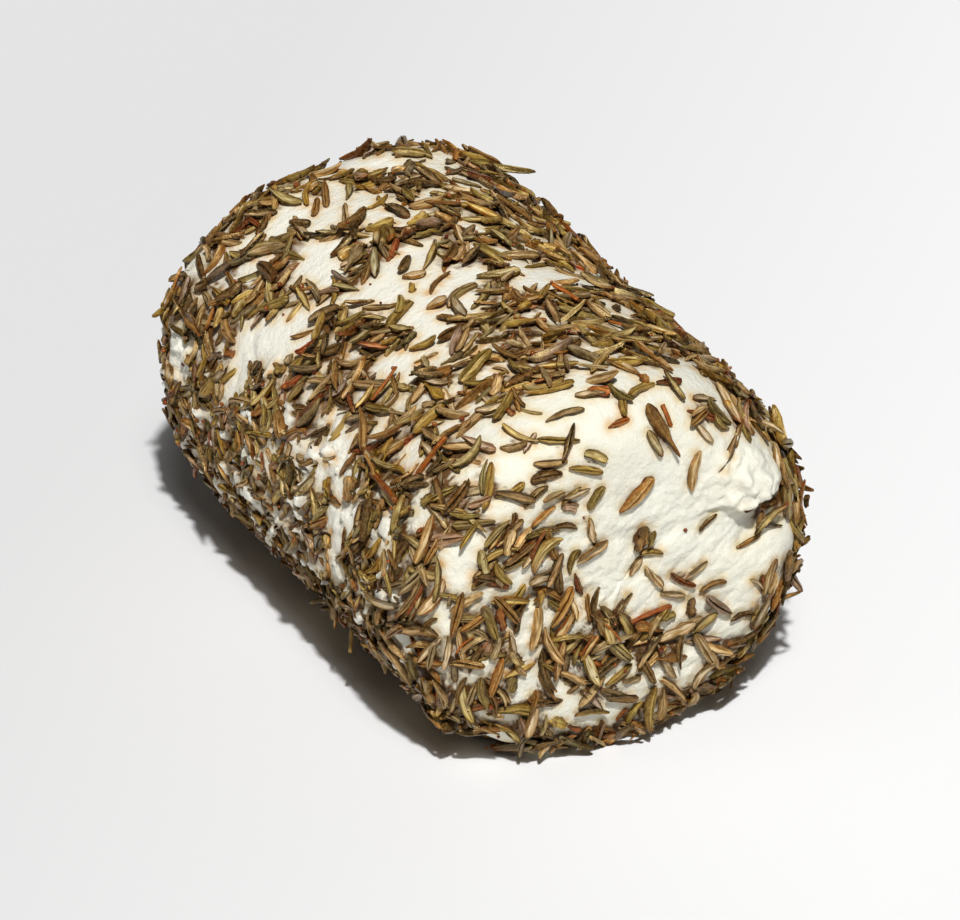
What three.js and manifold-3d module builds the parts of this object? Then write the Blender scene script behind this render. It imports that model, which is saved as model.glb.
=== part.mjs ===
// Goat cheese log: soft white cheese rolled in dried thyme leaves, lying on its side.
// Millimetres. X runs along the log with its bare end at +X, Y across it, Z up from the surface it lies on.

import * as THREE from 'three';
import { MeshSurfaceSampler } from 'three/addons/math/MeshSurfaceSampler.js';
import { mergeVertices } from 'three/addons/utils/BufferGeometryUtils.js';
import Module from 'manifold-3d';

// The bare cheese
const LOG_LENGTH = 74.8;
const LOG_WIDTH = 52.5;
const LOG_HEIGHT = 47.1;
const PRESSED_FLAT = 0.6; // depth that the log's own weight takes off its round underside
const FRONT_SHOULDER = 9.2; // rounding from the bare end into the side
const BACK_SHOULDER = 8.0;

const HALF_LENGTH = LOG_LENGTH / 2;
const HALF_WIDTH = LOG_WIDTH / 2;
const HALF_HEIGHT = (LOG_HEIGHT + PRESSED_FLAT) / 2;
const AXIS_HEIGHT = LOG_HEIGHT - HALF_HEIGHT;
const FACE_RADIUS = HALF_WIDTH - FRONT_SHOULDER;

// Rows of facets on each stretch of the profile, from the back end's centre to the front end's
const ROWS = { backFace: 4, backShoulder: 4, side: 15, frontShoulder: 5, frontFace: 9 };
const AROUND = 44;

// Dried thyme leaves: curled spindles with pointed tips
const LEAF_LONGEST = 5.0;
const LEAF_SHORTEST = 3.2;
const LEAF_WIDTH = 0.34; // of its length
const LEAF_THICKNESS = 0.32; // of its length
const LEAF_SUNK = 0.02; // of its length, the depth of its middle below the cheese
const LEAF_SIDES = 4;
// Stations along a leaf and its half width there, of its length and its width
const LEAF_OUTLINE = [[-0.5, 0], [-0.2, 0.5], [0.18, 0.45], [0.5, 0]];
const LEAF_COUNT = 245;
const LEAF_SPACING = 5.3; // between leaf middles where the coat is full
const LEAF_FLOOR_GAP = 0.4;
const LEAF_TRIES = 9000; // draws before the scatter gives up
const LEAF_SEED = 7;

// Low lumps and hollows that hands leave in the soft side
// Place along the log, clock angle in degrees from +Y, reach and height
const LUMPS = [
  { x: -34, angle: 156, reach: 7, height: 0.8 },
  { x: -29, angle: 176, reach: 6, height: -0.6 },
  { x: -30, angle: 97, reach: 8, height: -0.6 },
  { x: -32, angle: 70, reach: 7, height: 0.5 },
  { x: 22, angle: 42, reach: 9, height: 0.5 },
  { x: 33, angle: 40, reach: 5, height: -0.6 },
  { x: -23, angle: 197, reach: 5, height: -0.5 },
  { x: -19, angle: 212, reach: 5, height: 0.5 },
  { x: 32, angle: 244, reach: 5, height: 0.6 },
  { x: 2, angle: -10, reach: 12, height: 0.5 },
  { x: -20, angle: 20, reach: 9, height: -0.5 },
];

// Torn relief of the bare end, in its own plane: Y across, Z up from the log's axis
const FACE_DISH = 0.5;
const FACE_RELIEF = [
  { y: 16.0, z: 10.0, reachY: 4.6, reachZ: 3.4, height: 1.7 }, // crumbly ledge at the right rim
  { y: 18.0, z: 3.2, reachY: 4.4, reachZ: 2.8, height: -1.6 }, // hollow under the ledge
  { y: -3.0, z: -3.6, reachY: 7.0, reachZ: 2.4, height: 0.7 }, // lip over the herbs at the lower rim
  { y: 1.5, z: -17.5, reachY: 6.0, reachZ: 3.0, height: -0.6 },
];
const RIDGES = { pitch: 5.2, slope: 40, height: 0.22, bend: 1.2, bendPitch: 12 }; // torn, rising to the right

// Patches with few or no leaves: place along the log, clock angle, half sizes along and around it
const BARE_PATCHES = [
  { x: -10, angle: 148, along: 6, around: 7 },
  { x: -25, angle: 110, along: 7, around: 6 },
  { x: -11, angle: 112, along: 6, around: 6 },
  { x: 4, angle: 108, along: 6, around: 5 },
  { x: 6, angle: 82, along: 5, around: 4 },
  { x: 15, angle: 166, along: 4, around: 6 },
  { x: 31, angle: 100, along: 6, around: 16 },
];
const PATCH_EDGE = { from: 0.7, to: 1.15 }; // where a patch's edge fades, of its half size
// The open parts of the two ends, the radius where their edges fade and the share of leaves that stay on them
const BARE_FACE = { y: 4, z: 5, from: 12, to: 16.5, stay: 0.12 };
const BARE_BACK = { y: 0, z: 0, from: 9, to: 17, stay: 0.3 };

const wasm = await Module();
wasm.setup();

// Repeatable draws between 0 and 1
function seededRandom(seed) {
  let state = seed;
  return () => {
    state = (state * 1664525 + 1013904223) % 4294967296;
    return state / 4294967296;
  };
}

function gauss(distance, reach) {
  return Math.exp(-((distance / reach) ** 2));
}

// Distance around the log between two clock angles in degrees
function aroundDistance(angle, other) {
  const turn = ((angle - other + 540) % 360) - 180;
  return THREE.MathUtils.degToRad(turn) * HALF_WIDTH;
}

function clockAngle(p) {
  return THREE.MathUtils.radToDeg(Math.atan2(p.z - AXIS_HEIGHT, p.y));
}

// Half of the log's long section, from the back end's centre to the front end's
function logProfile() {
  const path = new THREE.Path();
  path.moveTo(0, -HALF_LENGTH);
  path.lineTo(HALF_WIDTH - BACK_SHOULDER, -HALF_LENGTH);
  path.absarc(HALF_WIDTH - BACK_SHOULDER, BACK_SHOULDER - HALF_LENGTH, BACK_SHOULDER, -Math.PI / 2, 0, false);
  path.lineTo(HALF_WIDTH, HALF_LENGTH - FRONT_SHOULDER);
  path.absarc(FACE_RADIUS, HALF_LENGTH - FRONT_SHOULDER, FRONT_SHOULDER, 0, Math.PI / 2, false);
  path.lineTo(0, HALF_LENGTH);
  const points = [path.curves[0].getPoint(0)];
  Object.values(ROWS).forEach((rows, stretch) => {
    for (let row = 1; row <= rows; row++) points.push(path.curves[stretch].getPoint(row / rows));
  });
  points[0].x = 0;
  points[points.length - 1].x = 0;
  return points;
}

function lumpHeight(p) {
  const angle = clockAngle(p);
  let height = 0;
  for (const lump of LUMPS) {
    const away = Math.hypot(p.x - lump.x, aroundDistance(angle, lump.angle));
    height += lump.height * gauss(away, lump.reach);
  }
  return height;
}

// Height of the torn bare end above a flat cut
function faceRelief(y, z) {
  const inside = 1 - THREE.MathUtils.smoothstep(Math.hypot(y, z), FACE_RADIUS, HALF_WIDTH);
  let height = -FACE_DISH * gauss(Math.hypot(y, z), FACE_RADIUS);
  for (const form of FACE_RELIEF) {
    height += form.height * gauss(y - form.y, form.reachY) * gauss(z - form.z, form.reachZ);
  }
  const slope = THREE.MathUtils.degToRad(RIDGES.slope);
  const across = z * Math.cos(slope) - y * Math.sin(slope);
  const along = y * Math.cos(slope) + z * Math.sin(slope);
  const bend = RIDGES.bend * Math.sin((2 * Math.PI * along) / RIDGES.bendPitch);
  height += RIDGES.height * Math.sin((2 * Math.PI * across) / RIDGES.pitch + bend);
  return height * inside;
}

// A closed triangle mesh with shared vertices and no empty triangles
function weld(geometry) {
  geometry.deleteAttribute('normal');
  geometry.deleteAttribute('uv');
  const welded = mergeVertices(geometry, 1e-4);
  const kept = [];
  const index = welded.index.array;
  for (let i = 0; i < index.length; i += 3) {
    const [a, b, c] = index.slice(i, i + 3);
    if (a !== b && b !== c && c !== a) kept.push(a, b, c);
  }
  welded.setIndex(kept);
  return welded;
}

function cheeseGeometry() {
  const geometry = weld(new THREE.LatheGeometry(logProfile(), AROUND));
  geometry.rotateZ(-Math.PI / 2);
  geometry.scale(1, 1, HALF_HEIGHT / HALF_WIDTH);
  geometry.translate(0, 0, AXIS_HEIGHT);
  geometry.computeVertexNormals();
  const position = geometry.attributes.position;
  const p = new THREE.Vector3();
  const normal = new THREE.Vector3();
  for (let i = 0; i < position.count; i++) {
    p.fromBufferAttribute(position, i);
    normal.fromBufferAttribute(geometry.attributes.normal, i);
    const relief = p.x > 0 ? faceRelief(p.y, p.z - AXIS_HEIGHT) * Math.max(normal.x, 0) : 0;
    p.addScaledVector(normal, lumpHeight(p));
    p.x += relief;
    p.z = Math.max(p.z, 0);
    position.setXYZ(i, p.x, p.y, p.z);
  }
  geometry.computeVertexNormals();
  return geometry;
}

function endCover(p, bare) {
  const away = Math.hypot(p.y - bare.y, p.z - AXIS_HEIGHT - bare.z);
  return THREE.MathUtils.lerp(bare.stay, 1, THREE.MathUtils.smoothstep(away, bare.from, bare.to));
}

// How much of the coat of leaves lies at a point, from 0 on bare cheese to 1
function coatCover(p) {
  const angle = clockAngle(p);
  let cover = 1;
  for (const patch of BARE_PATCHES) {
    const along = (p.x - patch.x) / patch.along;
    const around = aroundDistance(angle, patch.angle) / patch.around;
    cover *= THREE.MathUtils.smoothstep(Math.hypot(along, around), PATCH_EDGE.from, PATCH_EDGE.to);
  }
  if (p.x > HALF_LENGTH - FRONT_SHOULDER / 2) cover *= endCover(p, BARE_FACE);
  if (p.x < BACK_SHOULDER / 2 - HALF_LENGTH) cover *= endCover(p, BARE_BACK);
  return cover;
}

// One leaf of unit length along Y, with its back up along Z
function leafGeometry() {
  const outline = LEAF_OUTLINE.map(([along, half]) => new THREE.Vector2(half, along));
  const leaf = weld(new THREE.LatheGeometry(outline, LEAF_SIDES));
  return leaf.scale(LEAF_WIDTH, 1, LEAF_THICKNESS);
}

// Leaves laid at random turns on the cheese, the longest first, each clear of the others and of the floor
function leafGeometries(cheese) {
  const cover = [];
  const p = new THREE.Vector3();
  const position = cheese.attributes.position;
  for (let i = 0; i < position.count; i++) cover.push(coatCover(p.fromBufferAttribute(position, i)));
  const weighted = cheese.clone();
  weighted.setAttribute('cover', new THREE.Float32BufferAttribute(cover, 1));
  const random = seededRandom(LEAF_SEED);
  const sampler = new MeshSurfaceSampler(new THREE.Mesh(weighted));
  sampler.setWeightAttribute('cover').setRandomGenerator(random).build();
  const shape = leafGeometry();
  const place = new THREE.Vector3();
  const normal = new THREE.Vector3();
  const placed = [];
  const leaves = [];
  for (let attempt = 0; attempt < LEAF_TRIES && leaves.length < LEAF_COUNT; attempt++) {
    sampler.sample(place, normal);
    const turn = random() * 2 * Math.PI;
    if (placed.some((other) => other.distanceTo(place) < LEAF_SPACING)) continue;
    const length = THREE.MathUtils.lerp(LEAF_LONGEST, LEAF_SHORTEST, leaves.length / LEAF_COUNT);
    const leaf = new THREE.Object3D();
    leaf.quaternion.setFromUnitVectors(new THREE.Vector3(0, 0, 1), normal);
    leaf.rotateZ(turn);
    leaf.position.copy(place).addScaledVector(normal, -LEAF_SUNK * length);
    leaf.scale.setScalar(length);
    leaf.updateMatrix();
    const geometry = shape.clone().applyMatrix4(leaf.matrix);
    geometry.computeBoundingBox();
    if (geometry.boundingBox.min.z < LEAF_FLOOR_GAP) continue;
    placed.push(place.clone());
    leaves.push(geometry);
  }
  return leaves;
}

function solidOf(geometry) {
  const vertProperties = new Float32Array(geometry.attributes.position.array);
  const triVerts = new Uint32Array(geometry.index.array);
  return new wasm.Manifold(new wasm.Mesh({ numProp: 3, vertProperties, triVerts }));
}

function geometryOf(solid) {
  const mesh = solid.getMesh();
  const geometry = new THREE.BufferGeometry();
  geometry.setAttribute('position', new THREE.BufferAttribute(mesh.vertProperties, mesh.numProp));
  geometry.setIndex(new THREE.BufferAttribute(mesh.triVerts, 1));
  geometry.computeVertexNormals();
  return geometry;
}

// The cheese with its leaves stuck on, as one solid
function coatedLog() {
  const cheese = cheeseGeometry();
  let solid = solidOf(cheese);
  for (const leaf of leafGeometries(cheese)) solid = solid.add(solidOf(leaf));
  const material = new THREE.MeshStandardMaterial({ color: 0xf4efdc, roughness: 0.7, metalness: 0 });
  const mesh = new THREE.Mesh(geometryOf(solid), material);
  mesh.name = 'goat_cheese_log';
  return mesh;
}

const goatCheeseLog = new THREE.Group();
goatCheeseLog.add(coatedLog());

export default goatCheeseLog;
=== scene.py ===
import math

import bpy
import numpy as np
from mathutils import Matrix, Vector
from mathutils.kdtree import KDTree


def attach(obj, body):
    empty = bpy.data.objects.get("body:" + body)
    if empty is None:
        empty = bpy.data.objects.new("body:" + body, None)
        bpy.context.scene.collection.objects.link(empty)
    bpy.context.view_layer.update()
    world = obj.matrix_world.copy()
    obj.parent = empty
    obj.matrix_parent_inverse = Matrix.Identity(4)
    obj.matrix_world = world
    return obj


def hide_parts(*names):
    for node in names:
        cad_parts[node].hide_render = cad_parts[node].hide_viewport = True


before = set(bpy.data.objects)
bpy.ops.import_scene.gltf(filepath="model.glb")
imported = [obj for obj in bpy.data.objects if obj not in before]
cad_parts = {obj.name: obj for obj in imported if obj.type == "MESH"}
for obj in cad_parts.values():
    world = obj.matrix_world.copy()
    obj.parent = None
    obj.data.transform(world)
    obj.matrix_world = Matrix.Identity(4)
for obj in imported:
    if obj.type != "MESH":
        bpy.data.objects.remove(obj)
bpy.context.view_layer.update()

# A goat cheese log rolled in dried thyme: soft white cheese under several thousand curled leaves.
# Shapes are worked out in millimetres in the part's own frame and turned into metres as meshes.
NODE = "goat_cheese_log"
BODY = "root"
MM = 0.001

# The bare cheese, with the same sizes as its solid
LOG_LENGTH = 74.8
LOG_WIDTH = 52.5
LOG_HEIGHT = 47.1
PRESSED_FLAT = 0.6
FRONT_SHOULDER = 9.2
BACK_SHOULDER = 8.0
HALF_LENGTH = LOG_LENGTH / 2
HALF_WIDTH = LOG_WIDTH / 2
HALF_HEIGHT = (LOG_HEIGHT + PRESSED_FLAT) / 2
AXIS_HEIGHT = LOG_HEIGHT - HALF_HEIGHT
OVAL = HALF_HEIGHT / HALF_WIDTH

# Distances along the profile from the middle of the bare end: its rim, the side and the back end
FACE_RIM = HALF_WIDTH - FRONT_SHOULDER
SIDE_START = FACE_RIM + FRONT_SHOULDER * math.pi / 2
SIDE_END = SIDE_START + LOG_LENGTH - FRONT_SHOULDER - BACK_SHOULDER
BACK_RIM = SIDE_END + BACK_SHOULDER * math.pi / 2
PROFILE_END = BACK_RIM + HALF_WIDTH - BACK_SHOULDER
# Length of a plain tube with the log's girth and area: the side, and shares of shoulders and ends
SHOULDER_SHARE = 1.3
END_SHARE = 0.4
SHOULDERS = (FRONT_SHOULDER + BACK_SHOULDER) * SHOULDER_SHARE
TUBE_LENGTH = SIDE_END - SIDE_START + SHOULDERS + HALF_WIDTH * END_SHARE

# Fineness of the cheese surface: spacing of its rows on each stretch, and columns around
ROW_STEPS = [(FACE_RIM, 0.24), (SIDE_START, 0.32), (SIDE_END, 0.6), (BACK_RIM, 0.6), (PROFILE_END, 0.8)]
COLUMNS = 360

# Low lumps that hands leave in the soft side: place along X, clock angle, reach and height
LUMPS = [
    (-34, 156, 7, 0.8), (-29, 176, 6, -0.6), (-30, 97, 8, -1.2), (-32, 70, 7, 0.5), (-2, 44, 9, -0.7),
    (33, 40, 5, -0.6), (-23, 197, 5, -0.5), (-19, 212, 5, 0.5), (32, 244, 5, 0.6), (2, -10, 12, 0.5),
    (-20, 20, 9, -0.5),
]

# The side that hands pressed: how far around that reaches, and for the rough cheese, the cheese
# squeezed up between leaves and the thick coat on it the clock angle and the arc where each is full
PRESSED_REACH = 20
ROUGH = (185, 6)
SMEARED = (181, 9)
THICK = (190, 8)
SMEAR_HEIGHT = 0.7
SMEAR_FADE = 6
SMEAR_EDGE = (0.35, 0.6)

# Fine relief by noises of pitch, seed and height
SOFT_LUMPS = [(3.2, 6, 0.12)]
SIDE_STREAKS = [(0.9, 5, 0.05)]
SIDE_STRETCH = 0.22
ROUGH_LUMPS = [(2.0, 7, 0.34), (0.9, 15, 0.2)]
SMEAR_SWELL = [(2.4, 21, 0.8), (0.9, 22, 0.7)]
BACK_LUMPS = [(2.2, 8, 0.35), (0.9, 9, 0.15)]

# Torn relief of the bare end: its dish, the slope of its tears, and where they fade out and are full
# above and to the left, by the slope of that line and the places
FACE_DISH = 0.5
TEAR_SLOPE = math.radians(40)
TEAR_STRETCH = (0.5, 1, 1)
TORN_BELOW = (0.35, 17, 8)
TORN_RIGHT = (0.4, -14, -4)
TEARS = [(1.3, 2, 0.1), (0.6, 12, 0.05)]
FACE_LUMPS = [(2.6, 13, 0.14), (0.7, 17, 0.05)]
CRACK_NOISE = (3.0, 1)
CRACK_RARITY = 6
CRACK_DEPTH = 0.12
CRUMB_NOISE = (1.5, 3)
CRUMB_HEIGHT = 0.12
# Its ledge: height, place and reach in Y, jagged edge below, end above in Z, and the crumbs on it
LEDGE = 1.8
LEDGE_AT = 17.5
LEDGE_REACH = 5.5
LEDGE_EDGE = (6.0, 7.0)
LEDGE_JAG = [(1.6, 14, 0.9)]
LEDGE_TOP = (16, 10.5)
LEDGE_CRUMBS = 0.9
SMALL_CRUMBS = (0.7, 4)
CRUMB_RIDGES = (1.0, 23)
CRUMB_RIDGE_SHARE = 0.6
# Its larger forms by Y, Z, reaches and height
FACE_FORMS = [
    (18.4, 3, 4.4, 2.8, -1.7), (-3, -3.6, 7, 2.4, 0.7), (1.5, -17.5, 6, 3, -0.6),
]

# Patches with few leaves on the side
# Distance along the profile, clock angle, half sizes along and around, tilt in degrees, emptiness
BARE_PATCHES = [
    (70, 146, 8.6, 3, 52, 1), (44, 172, 3, 4.4, 0, 0.97), (47, 158, 1.8, 3, 0, 0.97),
    (53.5, 109, 4.4, 3, 0, 1), (58, 101, 3.4, 5, 0, 1), (63.5, 104, 3.6, 3.6, 0, 0.95),
    (54, 79, 2.8, 4.4, 0, 0.97), (55, 65, 2.2, 2.8, 0, 0.85), (73, 121, 4, 2.6, 0, 0.95),
    (81.5, 105, 5, 5.4, 0, 1), (75, 99, 3.2, 3, 0, 0.95), (85.5, 119, 2.6, 3.4, 0, 0.93),
    (88, 146, 2.4, 3.6, 0, 0.85), (87, 170, 2.4, 2.8, 0, 0.75), (93.5, 92, 2.4, 3, 0, 0.9),
    (93, 136, 2.2, 3, 0, 0.95), (91.5, 188, 1.6, 3, 0, 0.5), (46, 65, 3.6, 3, 0, 0.9),
    (78, 62, 2.8, 2.4, 0, 0.75), (77, 82, 2.6, 2.2, 0, 0.6), (84, 71, 2.4, 2.6, 0, 0.7),
    (89, 88, 2.4, 3.4, 0, 0.65), (31, 166, 2.4, 3, 0, 0.3), (81, 165, 2.4, 2.4, 0, 0.35),
    (26, 112, 3.2, 4.4, 0, 0.6), (27, 100, 3.2, 3.4, 0, 0.75), (26, 80, 3.6, 6, 0, 0.6),
    (27, 59, 3, 4.6, 0, 0.9), (20.5, 158, 2.2, 2.6, 0, 0.85), (60, 47, 3, 3, 0, 0.95),
    (48, 5, 5, 3, 30, 0.9), (72, -12, 6, 4, 60, 0.95), (60, 24, 6, 3, 10, 0.7), (84, 30, 4, 4, 0, 0.85),
    (40, -30, 4, 3, 20, 0.85), (58, -48, 5, 3, 0, 0.7), (66, 222, 5, 2.5, 20, 0.7),
    (98, 60, 5, 4, 0, 0.8), (100, 0, 3, 5, 0, 0.7),
]

# Patches with few leaves on the bare end, seen straight on: Y, Z, half sizes, emptiness
FACE_PATCHES = [
    (4.5, 8, 13.5, 12, 1), (12, 1, 9.5, 6, 1), (-1, 17, 13, 4.8, 0.95), (14, 13.5, 3.6, 3.2, 0.65),
    (-12.5, 12.6, 4.5, 2, 0.9), (-12.5, -2.4, 3.2, 2, 0.75), (-20.5, 7, 1.8, 2, 0.7),
    (-22.5, -1.5, 1.8, 2.4, 0.8), (17.6, 9.2, 3, 3.2, 0.95), (-19.5, -7.5, 1.4, 2, 0.6),
    (-12.4, -11.2, 1.2, 2.2, 0.85), (-2.2, -17.2, 2.6, 1.5, 1), (-8.2, -13.6, 1.3, 1.2, 0.85),
    (-15.5, -18, 3, 2, 0.6), (6.6, -13.9, 2.8, 1.3, 0.85), (2.6, -16.2, 2.6, 1, 0.9),
    (14.5, -6.5, 4.2, 2.4, 0.95), (15.5, -10.5, 2.8, 1.8, 0.85), (19.3, -2.5, 2, 3.4, 0.85),
    (-2.5, -11.8, 1.4, 1.2, 0.4),
]
BACK_PATCHES = [
    (4, 3, 9, 7, 0.95), (-7, -5, 6, 5, 0.85), (-4, 12, 4, 3, 0.8),
]

# Dried leaf colours as seen in full light
PALETTE = {
    "taupe": (166, 140, 98),
    "olive": (144, 119, 54),
    "brown": (142, 102, 50),
    "dark": (88, 58, 26),
    "mauve": (154, 124, 102),
    "sage": (158, 138, 86),
    "gold": (160, 124, 44),
    "orange": (164, 84, 24),
    "russet": (124, 54, 20),
    "straw": (184, 156, 98),
}
LEAF_SHARES = {
    "taupe": 24, "olive": 22, "brown": 20, "dark": 9, "mauve": 5, "sage": 11, "gold": 4, "straw": 2,
    "russet": 1.5, "orange": 0.8,
}
STEM_SHARES = {"orange": 3, "russet": 3, "brown": 5, "straw": 2}

# Leaves that lie apart on the bare end, seen straight on: kind, colour, base Y Z, tip Y Z, width
FACE_LEAVES = [
    ("open", "brown", 6.5, 14.8, 3.6, 21.3, 1.9), ("hollow", "sage", 4.7, 15.4, 3.2, 18.9, 1.1),
    ("stem", "orange", 6, 20.6, 6.4, 18.4, 0.6), ("hollow", "taupe", 9.2, 18.4, 11.5, 15.2, 1),
    ("tight", "russet", 9, 19.3, 13, 17, 0.9), ("back", "taupe", 9.4, 15.4, 8.4, 10.1, 1.4),
    ("back", "brown", -0.6, 9.3, 3.9, 12.8, 1.6), ("back", "olive", -4.6, 10.8, -2.7, 13.5, 1.2),
    ("tight", "dark", -12.9, 13.2, -9.8, 15.3, 1), ("tight", "taupe", -11, 13.8, -7.6, 13.9, 0.9),
    ("back", "olive", -8.2, 12.3, -5.6, 14.2, 0.8), ("back", "olive", -7.2, 16.8, -3, 15.4, 1.2),
    ("back", "dark", -11.7, 16, -7.8, 16.3, 1.3), ("hollow", "brown", -11, 17.5, -7, 17.4, 0.9),
    ("hollow", "olive", -5, 18.2, -2.3, 16.8, 1.3), ("tight", "olive", -9.9, 19.7, -5.1, 19.2, 0.9),
    ("tight", "dark", -7.7, 17.5, -5.3, 20.9, 0.9), ("hollow", "mauve", -11.6, 18.6, -9.6, 20.3, 0.8),
    ("hollow", "dark", -8.2, 21.2, -3.4, 21.9, 1), ("back", "orange", -1.5, 20, 1.4, 20.3, 0.9),
    ("back", "olive", 0.7, 20.4, 1.6, 22.4, 1.1), ("hollow", "taupe", -3.9, 6.3, -4.6, 9.8, 0.9),
    ("hollow", "taupe", -6.2, 4.3, -2, 6.1, 1.4), ("back", "olive", -7.2, 3, -5.9, 6, 1),
    ("back", "brown", -8.7, 5.2, -10, 9.8, 1.1), ("back", "dark", -8.2, 0.8, -8.7, 5.2, 1.3),
    ("back", "russet", -6.3, 2.9, -5.2, -0.4, 0.9), ("broken", "brown", 2, 3.8, 2.7, 6.9, 1.6),
    ("curved", "olive", 3, 4, 3.8, 6.2, 0.9), ("broken", "brown", 1.6, 4, 1.9, 5.8, 1.2),
    ("back", "olive", 2.3, 3.1, 5.3, 2.6, 0.9), ("hollow", "taupe", 0.8, 0.7, 2.6, 2.4, 0.9),
    ("back", "taupe", 2.6, 1.6, 5, -1.9, 1.2), ("tight", "dark", 9.8, 4.2, 12.2, 5.9, 0.7),
    ("tight", "russet", 9.2, -2.9, 6, -0.5, 0.8), ("hollow", "taupe", 7.7, -1.4, 11, -0.1, 0.8),
    ("tight", "brown", 9.7, -3.4, 13.5, -3.1, 0.9), ("tight", "mauve", 9.9, -3.7, 13.8, -7.6, 1.3),
    ("hollow", "taupe", 4.9, -2.8, 8.2, -3.9, 0.8), ("back", "russet", 18.3, -3.6, 18.6, -6.2, 0.9),
    ("back", "taupe", 20, -3.8, 19.7, -7.2, 1.3), ("back", "russet", 14.8, 5.7, 18.6, 6.2, 0.9),
    ("back", "dark", 17.3, 5.6, 20.9, 4.6, 1.3), ("tight", "brown", 18, 5, 18.4, 1.4, 0.9),
    ("tight", "brown", 18.4, 1.2, 14.8, 0.5, 0.7), ("tight", "dark", 13.8, -8.2, 17.6, -8.6, 0.9),
    ("stem", "russet", -0.2, -5.6, 6.4, -4.6, 0.7), ("stem", "orange", -9.8, -4.7, -2.7, -10.3, 0.7),
    ("back", "olive", -9.6, 0.2, -6.6, -3.2, 1.1), ("tight", "brown", -4.6, -0.3, -4.8, -3.7, 0.6),
    ("curved", "olive", 1.5, 21.9, 6, 22.2, 1), ("tight", "russet", 6, 22.1, 9.6, 21.2, 0.9),
    ("back", "olive", 0.2, 23.2, 2, 21.2, 1), ("hollow", "olive", 7.2, 22.4, 8.8, 20, 1),
    ("broken", "orange", -2.2, 23, 0.2, 22.4, 1.1), ("hollow", "taupe", 10.2, 20, 13.4, 18.6, 0.9),
    ("back", "olive", 11.6, 18, 14.2, 15.6, 0.9), ("tight", "brown", 8.4, 17.8, 11.4, 18.4, 0.8),
]

# Leaves that stand out on the side: kind, colour, distance along the profile and clock angle of base
# and tip, width
SIDE_LEAVES = [
    ("back", "brown", 52, 109.8, 49.4, 107.7, 1), ("hollow", "taupe", 54.3, 110.4, 53.2, 104.6, 1.3),
    ("hollow", "taupe", 48.6, 105.2, 52.9, 104.1, 1.2), ("curved", "brown", 57, 107.3, 59.4, 98.5, 0.8),
    ("tight", "brown", 59.6, 98.8, 63.2, 91.5, 1.2), ("hollow", "taupe", 62, 109, 60.6, 103.2, 1.2),
    ("tight", "brown", 62.3, 108.8, 65.3, 103.2, 1.2),
    ("hollow", "olive", 61.6, 103.2, 64.4, 95.8, 0.9),
    ("broken", "gold", 58.7, 109.6, 60.3, 107.9, 0.8), ("back", "olive", 55.8, 116.8, 59.2, 112.5, 1.1),
    ("hollow", "taupe", 53.8, 89.5, 54.4, 85, 1), ("hollow", "dark", 59.1, 94.6, 60.3, 88, 1.2),
    ("hollow", "sage", 64.6, 113.8, 68.4, 108.8, 1.2), ("hollow", "sage", 67.6, 109, 71.8, 105, 1.1),
    ("open", "taupe", 68.4, 118.6, 70.4, 110.5, 1.9), ("tight", "dark", 72.8, 118, 73.4, 107, 1.3),
    ("back", "brown", 74.4, 113.8, 77.3, 102.5, 1.5), ("tight", "taupe", 77.5, 108.6, 81.7, 104.2, 0.9),
    ("hollow", "olive", 82.3, 102.8, 85.8, 98.4, 1), ("back", "brown", 83, 108.6, 87.2, 104.2, 1),
    ("tight", "brown", 82.3, 113, 85.3, 108.5, 1), ("hollow", "dark", 73.4, 94.2, 77.4, 96.8, 1.5),
    ("back", "mauve", 83.8, 94.8, 86.4, 96.3, 1.1), ("open", "olive", 86.6, 98.2, 88, 91, 1.6),
    ("back", "dark", 83, 119.6, 81.2, 115, 1.3), ("tight", "dark", 85.2, 127.6, 87.2, 121.6, 0.9),
    ("back", "olive", 68.6, 104, 72.8, 102.4, 1.8), ("back", "olive", 74.2, 106, 72.6, 98.6, 1.5),
    ("back", "mauve", 68.8, 97.6, 69.4, 90, 1.8), ("broken", "russet", 68.4, 101.6, 68.7, 97.4, 1.5),
    ("stem", "orange", 31.8, 151.6, 38.6, 150.2, 0.9), ("stem", "dark", 35, 167, 36.4, 155.5, 1),
    ("broken", "gold", 45.4, 165.8, 48, 162.5, 1.4), ("back", "taupe", 42, 163, 42.4, 155, 1.6),
    ("back", "brown", 58.4, 162.6, 61.8, 157.6, 1.8), ("back", "dark", 75.4, 132.6, 80, 132.2, 1.9),
    ("hollow", "dark", 69.4, 155, 68.6, 150.4, 1.1), ("curved", "olive", 74.6, 141.8, 71.8, 133.4, 1.4),
    ("back", "olive", 63.6, 137, 64.4, 128.8, 1.1), ("open", "brown", 81.4, 157, 85, 154, 2.4),
    ("tight", "dark", 81.2, 148, 80.4, 139, 1.5), ("back", "brown", 88, 149.6, 85.4, 144.4, 1.4),
]

# Leaves that stick out of the outline: kind, colour, distance along the profile and clock angle of
# the middle, turn from the way around, length, width and how steeply the tip stands up
STRAY_LEAVES = [
    ("curved", "olive", 87, 49, -148, 6.6, 1.15, 0.62),
    ("curved", "dark", 88.2, 43, -140, 2.8, 0.9, 0.1), ("tight", "dark", 80, 43, 40, 3.2, 1.1, 0.5),
    ("back", "olive", 70, 41, 39, 4.2, 1.3, 0.2), ("hollow", "taupe", 26, 36, -162, 4.6, 1.1, 0.7),
    ("back", "sage", 74, 209, 139, 4, 1, 0.6), ("back", "dark", 55, 212, 138, 3.4, 1, 1),
    ("tight", "dark", 52.4, 212, 140, 3.2, 0.9, 0.8), ("stem", "straw", 46, 212, -37, 4.4, 0.6, 0.9),
    ("curved", "taupe", 48.5, 208, -35, 3.4, 0.7, 0.9), ("back", "taupe", 24.5, 248, 135, 2.8, 1, 0.8),
]

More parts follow.
